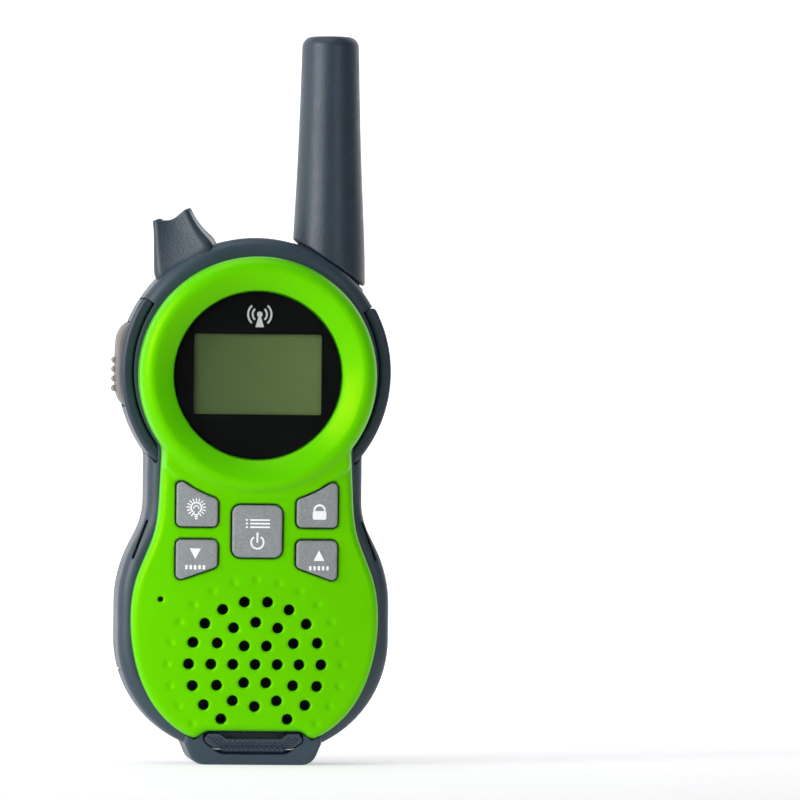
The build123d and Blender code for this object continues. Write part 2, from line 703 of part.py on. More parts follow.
def keypad_plate(y, inset=0.0):
    """Flat plate behind the keys, cut round at the top to clear the display ring."""
    low, high = KEYPAD_Z
    plate = Pos(0, (low + high) / 2) * Rectangle(2 * (KEYPAD_X - inset), high - low - 2 * inset)
    return slab(plate - Pos(0, COVER_HEAD_Z) * Circle(COVER_HEAD_R + 0.5 + inset), *y)


def keypad_guide():
    body = keypad_plate(GUIDE_Y)
    for x, z in KEY_CENTRES.values():
        body -= block((x - 2.2, x + 2.2), (-20, 0), (z - 2.2, z + 2.2))
    return body


def keypad_membrane():
    body = keypad_plate((MEMBRANE_Y[0], BOARD_Y[0] - 0.05), 0.6)
    for x, z in KEY_CENTRES.values():
        body -= rod_y(x, z, 3.0, MEMBRANE_Y[1], 0)
    return body


def key_domes():
    centres = KEY_CENTRES.values()
    return [rod_y(x, z, 2.2, BOARD_Y[0] - 0.6, BOARD_Y[0] - 0.02) for x, z in centres]


# ---------------------------------------------------------------- display
def display_window():
    return rod_y(0, COVER_HEAD_Z, WINDOW_R - 0.1, *WINDOW_Y)


def window_mask():
    disc = rod_y(0, COVER_HEAD_Z, WINDOW_R - 0.25, *MASK_Y)
    view = Pos(0, LCD_Z) * RectangleRounded(*VIEW_SIZE, 0.5)
    return disc - slab(view, -30, 0)


def window_gasket():
    disc = rod_y(0, COVER_HEAD_Z, WINDOW_R - 0.25, *GASKET_Y)
    return disc - rod_y(0, COVER_HEAD_Z, LEDGE_R + 0.05, -30, 0)


def lcd_frame():
    body = slab(Pos(0, LCD_Z) * RectangleRounded(*FRAME_SIZE, 1.0), *FRAME_Y)
    body -= slab(Pos(0, LCD_Z) * Rectangle(LCD_SIZE[0] + 0.3, LCD_SIZE[1] + 0.3), -30, LCD_Y[1] + 0.05)
    body -= slab(Pos(0, LCD_Z + 0.9) * Rectangle(27.2, 16.4), -30, BACKLIGHT_Y[1] + 0.1)
    return body - block((-12.3, 12.3), (-30, 0), (76.4, 77.5))


def lcd_backlight():
    return slab(Pos(0, LCD_Z + 0.9) * Rectangle(27.0, 16.2), *BACKLIGHT_Y)


# ---------------------------------------------------------------- board and works
def main_board():
    outline = Pos(0, HEAD_Z) * Circle(BOARD_HEAD_R) + Pos(0, BOARD_TAIL_Z) * Rectangle(*BOARD_TAIL)
    outline -= [Pos(x, z) * Circle(BOSS_R + 0.5) for x, z in SCREWS]
    outline -= [Pos(x, z) * Circle(1.1) for x, z in BOARD_SCREWS]
    return slab(outline, *BOARD_Y)


def shield_can():
    y = BOARD_Y[1] + 0.05
    return block((-11, 9), (y, y + 3), (78, 98)) - block((-10.7, 8.7), (y - 1, y + 2.7), (78.3, 97.7))


def board_chips():
    y = BOARD_Y[1] + 0.05
    places = (  # middle (x, z), width, height, thickness
        (-5, 88, 9, 9, 1.2),
        (4, 84, 4, 5, 1.0),
        (-16.5, 75, 4, 6, 1.6),
        (16, 75.5, 4, 6, 2.4),
        (13, 96, 5, 4, 1.8),
        (-13.4, 97, 3, 3, 1.4),
        (-3.5, 72, 6, 4, 1.0),
        (4, 71, 3, 3, 2.0),
    )
    chips = []
    for x, z, width, height, thickness in places:
        chip = block((x - width / 2, x + width / 2), (y, y + thickness), (z - height / 2, z + height / 2))
        chips.append(chip)
    return chips


def talk_switch():
    y = BOARD_Y[1] + 0.05
    body = block((-22.7, -18.5), (y, y + 4.8), (84.6, 90.4))
    return body + rod_x(sum(TALK_STEM_Y) / 2, sum(TALK_STEM_Z) / 2, 1.2, TALK_SWITCH_TIP_X, -22)


def earphone_socket():
    y = BOARD_Y[1] + 0.05
    body = block((12, 21.5), (y, SOCKET_Y + 2.6), (SOCKET_Z - 3.4, SOCKET_Z + 3.4))
    body += rod_x(SOCKET_Y, SOCKET_Z, SOCKET_BARREL_R, 20, SOCKET_X[1])
    return body - rod_x(SOCKET_Y, SOCKET_Z, SOCKET_BORE_R, SOCKET_X[0], 40)


def microphone():
    return rod_y(*MICROPHONE_HOLE, MICROPHONE_R, *MICROPHONE_Y)


def speaker_place(profile):
    return Pos(0, 0, SPEAKER_Z) * revolve(profile, Axis.Y)


def speaker_frame():
    front, back = SPEAKER_Y
    rim = ((13.0, front), (SPEAKER_R, front), (SPEAKER_R, front + 0.8), (13.2, front + 0.9))
    outside = Polyline(*rim, (8.2, back - 2.1))
    back_lip = ((8.2, back - 2.1), (7.4, back - 2.1), (7.4, back - 2.6))
    inside = Polyline(*back_lip, (12.6, front + 0.9), (13.0, front))
    return speaker_place(make_face(outside + inside))


def speaker_cone():
    front, back = SPEAKER_Y
    outer_side = ((0, front + 0.9), (3.0, front + 1.3), (3.4, back - 3.2), (12.3, front + 0.3))
    inner_side = ((12.3, front + 0.6), (3.4, back - 2.8), (2.8, front + 1.7), (0, front + 1.3))
    return speaker_place(polygon(*outer_side, *inner_side))


def speaker_magnet():
    return rod_y(0, SPEAKER_Z, MAGNET_R, SPEAKER_Y[1] - MAGNET_DEPTH, SPEAKER_Y[1])


def speaker_felt():
    return rod_y(0, SPEAKER_Z, SPEAKER_R, SPEAKER_Y[0] - 0.5, SPEAKER_Y[0] - 0.1)


# ---------------------------------------------------------------- antenna and torch
def antenna_sheath():
    low = (ANTENNA_BASE_R + 0.3, 100)
    profile = Spline(low, (7.65, 119.6), (7.2, 128.4), (6.7, 141.5), (ANTENNA_TOP_R, 160))
    axis_side = Polyline((ANTENNA_TOP_R, 160), (0, 160), (0, 100), low)
    face = make_face(profile + axis_side)
    body = revolve(Plane.XZ * face, Axis.Z)
    body = fillet([e for e in body.edges() if e.center().Z > 159.9], ANTENNA_TIP_FILLET)
    body = Pos(ANTENNA_X, ANTENNA_Y, 0) * body
    body -= antenna_side(0, False)
    foot_rim = [e for e in body.edges() if e.center().Z < 118]
    body = fillet(foot_rim, 0.5)
    return body - rod_z(ANTENNA_X, ANTENNA_Y, COIL_R + 0.9, 90, COIL_Z[1] + 2)


def antenna_neck():
    disc = rod_z(ANTENNA_X, ANTENNA_Y, ANTENNA_NECK_R, 95, 125)
    disc = disc - antenna_side(0.05, True) - antenna_side(ANTENNA_NECK_GAP - 0.05, False)
    spigot = rod_z(ANTENNA_X, ANTENNA_Y, ANTENNA_SPIGOT_R, 103, 125) - antenna_side(0.3, True)
    return disc + spigot - rod_z(ANTENNA_X, ANTENNA_Y, 0.8, 90, 130)


def antenna_coil():
    low, high = COIL_Z
    spiral = Helix(COIL_PITCH, high - low, COIL_R)
    wire = sweep(Plane(origin=spiral @ 0, z_dir=spiral % 0) * Circle(COIL_WIRE_R), path=spiral)
    coil = Pos(ANTENNA_X, ANTENNA_Y, low) * wire
    plate = rod_z(ANTENNA_X, ANTENNA_Y, COIL_R + 0.6, low - 0.6, low + 0.3)
    return coil + plate + rod_z(ANTENNA_X, ANTENNA_Y, 0.65, 101, low)


def torch_bezel(envelope):
    """Flared stub whose axis bends from the head's normal to nearly upright, with flutes down its flanks."""
    sections = []
    for x, z, radius, lean in TORCH_SECTIONS:
        sections.append(Pos(x, TORCH_Y, z) * Rot(0, -lean, 0) * Circle(radius))
    body = loft(Sketch() + sections)
    top = torch_top()
    for step in range(TORCH_FLUTES):
        turn = Rot(0, 0, 360 / TORCH_FLUTES * step + TORCH_TURN)
        tilt = Pos(TORCH_TOP_R + TORCH_FLUTE_R - TORCH_FLUTE_DEPTH, 0, 0) * Rot(0, -TORCH_FLUTE_TILT, 0)
        body -= top * turn * tilt * Cylinder(TORCH_FLUTE_R, 20)
    body -= top * Pos(0, 0, 1 - TORCH_BORE_DEPTH) * Cylinder(TORCH_BORE_R, TORCH_BORE_DEPTH + 2, align=LOW)
    return body - envelope - torch_lead_hole()


def torch_lens():
    return torch_top() * Pos(0, 0, -1.3) * Cylinder(TORCH_BORE_R - 0.1, 1.0, align=LOW)


def torch_reflector():
    rim = TORCH_BORE_R - 0.1
    depth = TORCH_BORE_DEPTH - 1
    cup = polygon((1.4, -depth), (rim, -depth), (rim, -1.4), (rim - 0.3, -1.4), (1.4, -depth + 1.5))
    return torch_top() * revolve(Plane.XZ * cup, Axis.Z)


def torch_lamp():
    depth = TORCH_BORE_DEPTH - 1
    body = Pos(0, 0, -depth) * Cylinder(1.2, 2.6, align=LOW) + Pos(0, 0, 2.6 - depth) * Sphere(1.2)
    return torch_top() * body


# ---------------------------------------------------------------- battery box
def cell_places():
    """X of each cell and whether its positive end is up."""
    for step in range(4):
        yield (step - 1.5) * CELL_PITCH, step % 2 == 0


def battery_cell(x, positive_up):
    low, high = CELL_Z
    if positive_up:
        return rod_z(x, CELL_Y, CELL_R, low, high - 0.8) + rod_z(x, CELL_Y, 1.9, high - 0.8, high)
    return rod_z(x, CELL_Y, CELL_R, low + 0.8, high) + rod_z(x, CELL_Y, 1.9, low, low + 0.8)


def battery_contacts():
    floor, roof = POCKET_Z
    low, high = CELL_Z
    half = CELL_PITCH / 2 - 0.6
    spans = [(-3, -1, True), (1, 3, True), (-3, -3, False), (-1, 1, False), (3, 3, False)]
    plates = []
    for left, right, bottom in spans:
        x = (left * CELL_PITCH / 2 - half, right * CELL_PITCH / 2 + half)
        z = (floor + 0.05, floor + 0.45) if bottom else (roof - 0.45, roof - 0.05)
        plates.append(block(x, (-2, 5.5), z))
    for x, positive_up in cell_places():
        if positive_up:
            plates.append(rod_z(x, CELL_Y, 2.4, high + 0.05, roof - 0.2))
        else:
            plates.append(rod_z(x, CELL_Y, 2.4, floor + 0.2, low - 0.05))
    return Part() + plates


def battery_springs():
    floor = POCKET_Z[0]
    springs = []
    for x, positive_up in cell_places():
        base = floor + 0.8 if positive_up else CELL_Z[1] + 0.32
        spiral = Helix(0.7, 1.4, 2.6)
        wire = sweep(Plane(origin=spiral @ 0, z_dir=spiral % 0) * Circle(0.28), path=spiral)
        springs.append(Pos(x, CELL_Y, base) * wire)
    return springs


def door_outline(grow=0.0):
    middle = sum(DOOR_Z) / 2
    size = (2 * (DOOR_X + grow), DOOR_Z[1] - DOOR_Z[0] + 2 * grow)
    return Pos(0, middle) * RectangleRounded(*size, DOOR_CORNER_R + grow)


def battery_door(envelope):
    """Door plate with a tongue that turns under the works and reaches forward to the latch."""
    inner = BACK_Y - DOOR_THICKNESS
    low = TONGUE_Z[0]
    web = block((-TONGUE_X, TONGUE_X), (inner, BACK_Y + 1), (low, DOOR_Z[0] + 2))
    body = (slab(door_outline(), inner, BACK_Y + 1) + web) & envelope
    body += block((-TONGUE_X, TONGUE_X), (TONGUE_FRONT_Y, inner + 0.5), TONGUE_Z)
    body += block((-TONGUE_X, TONGUE_X), (TONGUE_FRONT_Y, TONGUE_FRONT_Y + 1.2), (low, SLOT_Z[1] - GAP))
    for step in range(DOOR_GRIP_LINES):
        body -= block((-9, 9), (BACK_Y - 0.4, 20), (50 + 1.6 * step, 50.7 + 1.6 * step))
    return body


def door_latch():
    """Pad that tips forward about its lower edge; a nib behind it stands before the door's tongue."""
    y, z = LATCH_PIVOT
    front, back = LATCH_PAD_Y
    face = front + 0.1
    upright = polygon((y - LATCH_PIN_R, z), (back, z), (back, 10), (face, 10), (face, z + LATCH_BEVEL))
    barrel = rod_x(y, z, LATCH_BARREL_R, -LATCH_BARREL_X, LATCH_BARREL_X)
    pad = (side_slab(upright, -12, 12) + barrel) & slab(latch_outline(), -30, 0)
    pad = pad & rod_z(0, front + FOOT_PLAN_R, FOOT_PLAN_R, -5, 20)
    nib = block((-5, 5), (back - 0.5, back + 1.1), (4.2, 5.4))
    return pad + nib - rod_x(y, z, LATCH_PIN_R + 0.05, -FAR, FAR)


def door_latch_pin():
    return rod_x(*LATCH_PIVOT, LATCH_PIN_R, -LATCH_PIN_X, LATCH_PIN_X)


# ---------------------------------------------------------------- belt clip
def clip_bracket():
    y, z = CLIP_PIVOT
    low, high = RAIL_Z[0], z + 2
    body = slab(Pos(0, (low + high) / 2) * RectangleRounded(2 * BRACKET_X, high - low, 2.0), *BRACKET_Y)
    half_low, half_high = (w + SLIDING_GAP for w in RAIL_HALF_WIDTHS)
    depth = BACK_Y + RAIL_HEIGHT + SLIDING_GAP
    slot = mirrored(polygon((0, 5), (half_low, 5), (half_low, 9.8), (half_high, depth), (0, depth)))
    body -= Pos(0, 0, low - 1) * extrude(slot, RAIL_Z[1] + SLIDING_GAP - low + 1)
    root = BRACKET_Y[1] - 1
    ear = Pos(y, z) * Circle(2.2) + polygon((root, z - 5), (y, z - 2.2), (y, z + 2), (root, z + 2))
    for side in (-1, 1):
        inside, outside = sorted((side * (CLIP_ARM_X + 0.3), side * BRACKET_X))
        body += side_slab(ear, inside, outside)
    return body - rod_x(y, z, CLIP_PIN_R + 0.05, -FAR, FAR)


def clip_arm():
    y, z = CLIP_PIVOT
    back = CLIP_BACK_Y
    profile = polygon(
        (y - 1.2, CLIP_LEVER_Z),
        (y + 0.6, CLIP_LEVER_Z),
        (y + 2.0, z + 4),
        (back, z - 4),
        (back, 72),
        (back - 1.6, CLIP_TIP_Z),
        (back - 3.4, CLIP_TIP_Z),
        (back - 4.4, CLIP_TIP_Z + 3),
        (back - 2.0, 74),
        (back - 2.0, z - 5),
        (y - 0.2, z - 2.1),
        (y - 0.2, z + 2.1),
    )
    profile = profile + Pos(y, z) * Circle(2.1)
    body = side_slab(profile, -CLIP_ARM_X, CLIP_ARM_X)
    middle = (CLIP_TIP_Z + CLIP_LEVER_Z) / 2
    front = RectangleRounded(2 * CLIP_ARM_X, CLIP_LEVER_Z - CLIP_TIP_Z, 3.0)
    body = body & slab(Pos(0, middle) * front, -30, 30)
    body -= block((-3, 3), (-30, 30), (z - 2.6, z + 2.6))
    return body - rod_x(y, z, CLIP_PIN_R + 0.05, -FAR, FAR)


def clip_pin():
    return rod_x(*CLIP_PIVOT, CLIP_PIN_R, -BRACKET_X + 0.1, BRACKET_X - 0.1)


def clip_spring():
    y, z = CLIP_PIVOT
    spiral = Helix(0.8, 4.0, 1.5)
    wire = sweep(Plane(origin=spiral @ 0, z_dir=spiral % 0) * Circle(0.3), path=spiral)
    coil = Pos(-2.0, y, z) * Rot(0, 90, 0) * wire
    return coil + rod_z(2.2, y - 1.45, 0.3, z - 7, z + 0.3)


# ---------------------------------------------------------------- fasteners
def case_screws():
    seat = SCREW_SEAT_Y
    screws = []
    for x, z in SCREWS:
        shank = rod_y(x, z, SCREW_R, -11, seat + 0.05)
        screws.append(shank + rod_y(x, z, SCREW_HEAD_R, seat + 0.05, seat + 1.5))
    return screws


def board_screws():
    front = BOARD_Y[0]
    screws = []
    for x, z in BOARD_SCREWS:
        shank = rod_y(x, z, 0.8, front - 0.1, -2)
        screws.append(shank + rod_y(x, z, 1.8, front - 1.1, front - 0.05))
    return screws


# ---------------------------------------------------------------- the assembly
def lcd_glass():
    return slab(Pos(0, LCD_Z) * Rectangle(*LCD_SIZE), *LCD_Y)


def lcd_connector():
    return block((-12, 12), (LCD_Y[1] + 0.1, BOARD_Y[0] - 0.05), (76.5, 77.4))


def nodes():
    envelope = casing_envelope()
    yield "front_cover", front_cover()
    yield "rear_casing", rear_casing(envelope)
    yield "left_side_grip", left_grip()
    yield "right_side_grip", right_grip()
    yield "talk_button", talk_button()
    yield "jack_cover", jack_cover()
    for name in KEYS:
        yield "key_" + name, key(name)
    yield "keypad_guide", keypad_guide()
    yield "keypad_membrane", keypad_membrane()
    yield "key_domes", key_domes()
    yield "display_window", display_window()
    yield "window_mask", window_mask()
    yield "window_gasket", window_gasket()
    yield "lcd_glass", lcd_glass()
    yield "lcd_frame", lcd_frame()
    yield "lcd_backlight", lcd_backlight()
    yield "lcd_connector", lcd_connector()
    yield "main_board", main_board()
    yield "shield_can", shield_can()
    yield "board_chips", board_chips()
    yield "talk_switch", talk_switch()
    yield "earphone_socket", earphone_socket()
    yield "microphone", microphone()
    yield "speaker_frame", speaker_frame()
    yield "speaker_cone", speaker_cone()
    yield "speaker_magnet", speaker_magnet()
    yield "speaker_felt", speaker_felt()
    yield "antenna_sheath", antenna_sheath()
    yield "antenna_neck", antenna_neck()
    yield "antenna_coil", antenna_coil()
    yield "torch_bezel", torch_bezel(envelope)
    yield "torch_lens", torch_lens()
    yield "torch_reflector", torch_reflector()
    yield "torch_lamp", torch_lamp()
    for number, (x, positive_up) in enumerate(cell_places(), 1):
        yield f"battery_cell_{number}", battery_cell(x, positive_up)
    yield "battery_contacts", battery_contacts()
    yield "battery_springs", battery_springs()
    yield "battery_door", battery_door(envelope)
    yield "door_latch", door_latch()
    yield "door_latch_pin", door_latch_pin()
    yield "clip_bracket", clip_bracket()
    yield "clip_arm", clip_arm()
    yield "clip_pin", clip_pin()
    yield "clip_spring", clip_spring()
    yield "case_screws", case_screws()
    yield "board_screws", board_screws()


def main():
    os.makedirs("parts", exist_ok=True)
    for name, shape in nodes():
        solids = shape if isinstance(shape, list) else shape.solids()
        whole = solids[0] if len(solids) == 1 else Compound(children=solids)
        export_step(whole, f"parts/{name}.step")


if __name__ == "__main__":
    main()
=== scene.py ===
"""Looks of a toy two-way radio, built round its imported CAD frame. Metres, +Z up, the display faces -Y."""
import json
import math

import bmesh
import bpy
from mathutils import Matrix, Vector
from mathutils.bvhtree import BVHTree
from mathutils.geometry import tessellate_polygon


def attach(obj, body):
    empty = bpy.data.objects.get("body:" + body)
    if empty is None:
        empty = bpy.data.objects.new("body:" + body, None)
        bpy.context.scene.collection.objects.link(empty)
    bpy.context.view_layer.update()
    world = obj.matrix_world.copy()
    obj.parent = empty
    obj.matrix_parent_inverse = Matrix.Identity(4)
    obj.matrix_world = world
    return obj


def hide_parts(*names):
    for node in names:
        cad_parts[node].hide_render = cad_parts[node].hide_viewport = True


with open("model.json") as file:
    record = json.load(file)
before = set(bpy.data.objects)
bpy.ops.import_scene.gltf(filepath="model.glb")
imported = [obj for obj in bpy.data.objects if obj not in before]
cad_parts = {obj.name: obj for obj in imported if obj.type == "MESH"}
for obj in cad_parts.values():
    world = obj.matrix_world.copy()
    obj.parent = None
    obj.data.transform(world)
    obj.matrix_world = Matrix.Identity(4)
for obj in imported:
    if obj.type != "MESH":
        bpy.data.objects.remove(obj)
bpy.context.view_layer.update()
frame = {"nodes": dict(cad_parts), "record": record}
MM = 0.001


# ---------------------------------------------------------------- places, in millimetres
LIGHT_MARK = (-13.4, 55.9)
LOCK_MARK = (13.6, 55.4)
POWER_MARK = (0.0, 48.9)
MENU_MARK = (0.0, 52.9)
DOWN_MARK = (-13.5, 46.2)
UP_MARK = (13.6, 46.0)
WORD_BARS_Z = 43.3
SIGNAL_MARK = (0.3, 96.7)
LATCH_OUTLINE = (  # right half (x, z)
    (0, 2.8),
    (6.6, 2.9),
    (7.9, 3.4),
    (10.05, 5.0),
    (10.45, 5.7),
    (9.8, 6.55),
    (7.7, 6.55),
    (6.1, 5.5),
    (0, 5.5),
)


# ---------------------------------------------------------------- materials
MIX_FIRST, MIX_SECOND, MIX_RESULT = 6, 7, 2  # a Mix node's colour sockets, whose names its other kinds share
FLECK_SIZE = 0.16
PANEL_PAINTED_SHADE_X = (-0.017, 0.012)  # metres; the painted shade on the panel lifts from left to right between these


def linear(red, green, blue):
    """A colour given as it looks on a screen, 0 to 255, as the shader wants it."""
    shares = [c / 255 for c in (red, green, blue)]
    return tuple(s / 12.92 if s <= 0.04045 else ((s + 0.055) / 1.055) ** 2.4 for s in shares) + (1.0,)


class Surface:
    """A Principled material with helpers that hang noise, bump and soft edges on it."""

    def __init__(self, name, roughness, metallic=0.0, specular=0.5, coat=0.0, coat_roughness=0.1):
        self.material = bpy.data.materials.new(name)
        self.material.use_nodes = True
        self.tree = self.material.node_tree
        self.shader = self.tree.nodes["Principled BSDF"]
        self.shader.inputs["Roughness"].default_value = roughness
        self.shader.inputs["Metallic"].default_value = metallic
        self.shader.inputs["Specular IOR Level"].default_value = specular
        self.shader.inputs["Coat Weight"].default_value = coat
        self.shader.inputs["Coat Roughness"].default_value = coat_roughness
        self.roughness = roughness
        self.where = self.node("ShaderNodeTexCoord").outputs["Object"]
        self.normal = None

    def node(self, kind, **settings):
        made = self.tree.nodes.new(kind)
        for key, value in settings.items():
            setattr(made, key, value)
        return made

    def link(self, a, b):
        self.tree.links.new(a, b)

    def stretched(self, scale):
        """The object's own coordinates, scaled unequally for brushed or fibrous patterns."""
        mapping = self.node("ShaderNodeMapping")
        self.link(self.where, mapping.inputs["Vector"])
        mapping.inputs["Scale"].default_value = scale
        return mapping.outputs["Vector"]

    def noise(self, size_mm, detail=2.0, stretch=None):
        made = self.node("ShaderNodeTexNoise")
        made.inputs["Scale"].default_value = 1 / (size_mm * MM)
        made.inputs["Detail"].default_value = detail
        self.link(self.stretched(stretch) if stretch else self.where, made.inputs["Vector"])
        return made.outputs["Fac"]

    def between(self, value, low, high, start=0.3, end=0.7):
        """Maps a value's stretch from start to end onto low to high."""
        made = self.node("ShaderNodeMapRange")
        self.link(value, made.inputs["Value"])
        for socket, number in (("From Min", start), ("From Max", end), ("To Min", low), ("To Max", high)):
            made.inputs[socket].default_value = number
        return made.outputs["Result"]

    def mix(self, share, first, second):
        """Two colours, each a tuple or a socket, mixed by a socket."""
        made = self.node("ShaderNodeMix", data_type="RGBA")
        self.link(share, made.inputs["Factor"])
        for socket, colour in ((made.inputs[MIX_FIRST], first), (made.inputs[MIX_SECOND], second)):
            if isinstance(colour, tuple):
                socket.default_value = colour
            else:
                self.link(colour, socket)
        return made.outputs[MIX_RESULT]

    def colour(self, socket):
        self.link(socket, self.shader.inputs["Base Color"])

    def blotched(self, colour, shift=0.08, size_mm=9.0):
        """The colour, slightly darker and lighter in soft patches."""
        darker = tuple(c * (1 - shift) for c in colour[:3]) + (1.0,)
        lighter = tuple(min(1.0, c * (1 + shift) + shift * 0.004) for c in colour[:3]) + (1.0,)
        return self.mix(self.between(self.noise(size_mm, 3.0), 0.0, 1.0), darker, lighter)

    def uneven(self, spread, size_mm=4.0):
        low, high = self.roughness - spread, self.roughness + spread
        self.link(self.between(self.noise(size_mm, 3.0), low, high), self.shader.inputs["Roughness"])

    def soft_edges(self, radius_mm):
        bevel = self.node("ShaderNodeBevel", samples=4)
        bevel.inputs["Radius"].default_value = radius_mm * MM
        self.normal = bevel.outputs["Normal"]
        self.link(self.normal, self.shader.inputs["Normal"])

    def bump(self, height, depth_mm, strength=1.0):
        made = self.node("ShaderNodeBump")
        made.inputs["Strength"].default_value = strength
        made.inputs["Distance"].default_value = depth_mm * MM
        self.link(height, made.inputs["Height"])
        if self.normal:
            self.link(self.normal, made.inputs["Normal"])
        self.normal = made.outputs["Normal"]
        self.link(self.normal, self.shader.inputs["Normal"])


def moulded(name, colour, roughness, grain=(0.35, 0.010), edge=0.25, shift=0.08, spread=0.05, **finish):
    """Injection-moulded plastic or rubber: soft edges, faint patches, a fine grain (size, depth in mm)."""
    made = Surface(name, roughness, **finish)
    made.colour(made.blotched(colour, shift))
    made.uneven(spread)
    made.soft_edges(edge)
    made.bump(made.noise(6.0, 1.0), 0.02)
    made.bump(made.noise(grain[0], 3.0), grain[1])
    return made


def speckled(name, colour, flecks, amount, roughness, **finish):
    """Moulded plastic filled with fine light flecks."""
    made = Surface(name, roughness, **finish)
    cells = made.node("ShaderNodeTexVoronoi")
    cells.inputs["Scale"].default_value = 1 / (FLECK_SIZE * MM)
    made.link(made.where, cells.inputs["Vector"])
    bright = made.between(cells.outputs["Color"], 0.0, amount, 0.45, 0.95)
    made.colour(made.mix(bright, made.blotched(colour, 0.06), flecks))
    made.uneven(0.06)
    made.soft_edges(0.2)
    made.bump(made.noise(0.22, 2.0), 0.010)
    return made


def metal(name, colour, roughness, brushed=(1.0, 1.0, 6.0)):
    made = Surface(name, roughness, metallic=1.0)
    made.colour(made.blotched(colour, 0.12, 3.0))
    made.uneven(0.08, 1.5)
    made.soft_edges(0.1)
    made.bump(made.noise(0.25, 2.0, brushed), 0.004)
    return made


def clear(name, colour, roughness, ior=1.49):
    made = Surface(name, roughness)
    made.shader.inputs["Transmission Weight"].default_value = 1.0
    made.shader.inputs["IOR"].default_value = ior
    made.colour(made.blotched(colour, 0.01))
    return made


def fibrous(name, colour, roughness, size_mm, depth_mm):
    made = Surface(name, roughness)
    made.colour(made.blotched(colour, 0.3, size_mm * 2))
    made.bump(made.noise(size_mm, 4.0), depth_mm)
    return made


def display_panel(name):
    """Grey-green liquid crystal panel with painted shade darker towards its left edge, and faint patches and
    grain.
    """
    made = Surface(name, 0.32, specular=0.35)
    axes = made.node("ShaderNodeSeparateXYZ")
    made.link(made.where, axes.inputs["Vector"])
    # painted shade: the panel's colour darkens towards its left side
    across = made.between(axes.outputs["X"], 0.0, 1.0, *PANEL_PAINTED_SHADE_X)
    base = made.mix(across, linear(54, 70, 34), linear(76, 94, 50))
    made.colour(made.mix(made.between(made.noise(5.0), 0.0, 0.12), base, linear(50, 64, 34)))
    made.bump(made.noise(0.3, 1.0), 0.002)
    return made


def laminate(name, colour):
    """Circuit board: solder mask over faint copper traces."""
    made = Surface(name, 0.3, coat=0.3)
    traces = made.noise(1.4, 1.0, (1.0, 1.0, 0.25))
    lighter = tuple(min(1.0, c * 1.9 + 0.01) for c in colour[:3]) + (1.0,)
    made.colour(made.mix(made.between(traces, 0.0, 1.0, 0.5, 0.54), colour, lighter))
    made.bump(traces, 0.03)
    return made


def cover_plastic():
    """Green moulding with a satin gloss whose sheen leans to yellow, and a barely visible texture."""
    made = Surface("cover_plastic", 0.34, specular=0.6)
    made.colour(made.blotched(linear(88, 202, 3), 0.03, 14.0))
    made.shader.inputs["Specular Tint"].default_value = (0.9, 0.8, 0.0, 1.0)
    made.uneven(0.03, 6.0)
    made.bump(made.noise(9.0, 1.0), 0.006)
    made.bump(made.noise(0.45, 3.0), 0.0012)
    return made


def make_materials():
    """One finish for each of the record's material slots, then three that only pieces made here wear."""
    made = {
        "cover_plastic": cover_plastic(),
        "casing_plastic": moulded("casing_plastic", linear(42, 60, 73), 0.42, (0.30, 0.012), 0.4),
        "grip_rubber": moulded("grip_rubber", linear(30, 46, 62), 0.40, (0.35, 0.014), 0.35),
        "button_rubber": moulded("button_rubber", linear(128, 124, 122), 0.62, (0.3, 0.02), 0.3),
        "key_plastic": speckled("key_plastic", linear(128, 132, 135), linear(196, 200, 203), 0.4, 0.48),
        "black_plastic": moulded("black_plastic", linear(34, 35, 38), 0.5),
        "membrane_rubber": moulded("membrane_rubber", linear(190, 190, 184), 0.6),
        "contact_steel": metal("contact_steel", linear(205, 205, 200), 0.32),
        "window_glass": clear("window_glass", linear(250, 252, 250), 0.02, 1.12),
        "mask_print": moulded("mask_print", linear(2, 3, 3), 0.6, (0.4, 0.002), specular=0.05),
        "gasket_foam": fibrous("gasket_foam", linear(40, 40, 42), 0.9, 0.4, 0.05),
        "lcd_panel": display_panel("lcd_panel"),
        "white_plastic": moulded("white_plastic", linear(232, 232, 228), 0.45),
        "board_laminate": laminate("board_laminate", linear(24, 92, 48)),
        "speaker_paper": fibrous("speaker_paper", linear(48, 46, 44), 0.85, 0.5, 0.04),
        "magnet_iron": metal("magnet_iron", linear(120, 120, 122), 0.5),
        "felt": fibrous("felt", linear(14, 14, 15), 0.95, 0.3, 0.08),
        "antenna_rubber": moulded("antenna_rubber", linear(38, 54, 66), 0.36, (0.45, 0.06), 0.4, 0.1),
        "spring_brass": metal("spring_brass", linear(200, 165, 90), 0.35),
        "torch_glass": clear("torch_glass", linear(248, 250, 252), 0.04),
        "reflector_chrome": metal("reflector_chrome", linear(240, 240, 242), 0.08),
        "cell_wrap": moulded("cell_wrap", linear(70, 84, 128), 0.3, (0.5, 0.004)),
        "latch_plastic": moulded("latch_plastic", linear(44, 56, 72), 0.45, (0.3, 0.01), 0.15),
        "screw_steel": metal("screw_steel", linear(175, 175, 178), 0.35),
        "white_ink": moulded("white_ink", linear(245, 246, 248), 0.5, (0.3, 0.002), 0.05),
        "grey_ink": moulded("grey_ink", linear(168, 170, 172), 0.5, (0.3, 0.002), 0.05),
        "lens_white": moulded("lens_white", linear(246, 248, 250), 0.12, (0.6, 0.002), 0.05, 0.01),
    }
    return {slot: surface.material for slot, surface in made.items()}


def dress_frame(materials):
    """Gives every CAD node its slot's finish."""
    for part in frame["record"]["subparts"]:
        node = frame["nodes"][part["node"]]
        node.data.materials.clear()
        node.data.materials.append(materials[part["material_slot"]])
    frame["nodes"]["display_window"].visible_shadow = False  # a clear window leaves its display lit


# ---------------------------------------------------------------- mesh helpers
def add_piece(name, mesh, material, body, slot, *replaced):
    piece = bpy.data.objects.new(name, mesh)
    bpy.context.scene.collection.objects.link(piece)
    mesh.materials.append(material)
    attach(piece, body)
    if replaced:
        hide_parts(*replaced)
    return piece


